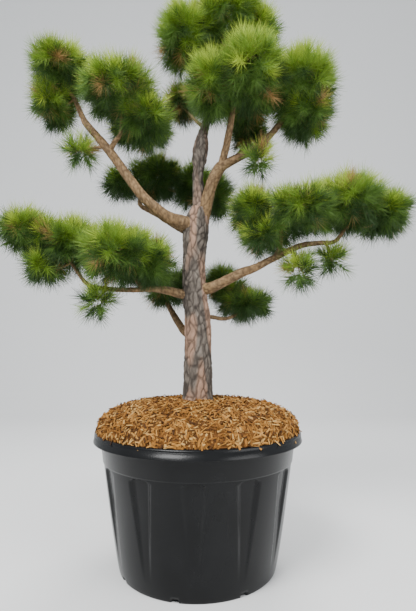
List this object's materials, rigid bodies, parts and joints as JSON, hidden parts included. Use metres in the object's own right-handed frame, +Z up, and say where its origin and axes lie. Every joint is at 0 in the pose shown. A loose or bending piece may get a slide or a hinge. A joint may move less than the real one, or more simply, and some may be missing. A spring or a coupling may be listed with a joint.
{
  "type": "potted pine tree",
  "caption": "Cloud-pruned pine tree with a bare forked trunk and rounded pads of needles, planted in a round fluted plastic tub topped with bark mulch.",
  "frame": {"origin": "centre of the pot's underside, on the ground", "axes": "+Z up the tree, -Y towards the viewer of the picture, +X to the viewer's right"},
  "size_m": [1.515, 0.7834, 2.0952],
  "materials": {
    "pot_plastic": "semi-gloss black moulded plastic",
    "soil": "moist dark substrate",
    "mulch": "loose shredded bark, matt",
    "trunk_bark": "rough plated bark, matt",
    "bough_bark": "fine flaky bark, matt",
    "needles": "stiff green needles, slight sheen"
  },
  "bodies": {
    "root": {"pot": "pot_plastic", "root_ball": "soil", "bark_mulch": "mulch", "trunk": "trunk_bark", "leader": "trunk_bark", "upper_right_bough": "bough_bark", "upper_right_fork": "bough_bark", "upper_right_back_fork": "bough_bark", "upper_left_bough": "bough_bark", "upper_left_fork": "bough_bark", "upper_back_bough": "bough_bark", "middle_back_bough": "bough_bark", "right_bough": "bough_bark", "right_fork": "bough_bark", "left_bough": "bough_bark", "left_fork": "bough_bark", "low_left_bough": "bough_bark", "low_right_bough": "bough_bark", "upper_right_spur": "bough_bark", "upper_left_spur": "bough_bark", "left_spur": "bough_bark", "right_spur": "bough_bark", "right_outer_spur": "bough_bark", "top_cloud": "needles", "upper_right_cloud": "needles", "upper_right_tip_cloud": "needles", "upper_right_back_cloud": "needles", "upper_left_tip_cloud": "needles", "upper_left_cloud": "needles", "upper_back_cloud": "needles", "middle_back_cloud": "needles", "left_tip_cloud": "needles", "left_cloud": "needles", "right_cloud": "needles", "right_tip_cloud": "needles", "low_right_cloud": "needles", "low_left_cloud": "needles", "upper_right_tuft": "needles", "upper_left_tuft": "needles", "left_tuft": "needles", "right_tuft": "needles", "right_outer_tuft": "needles"}
  },
  "joints": []
}
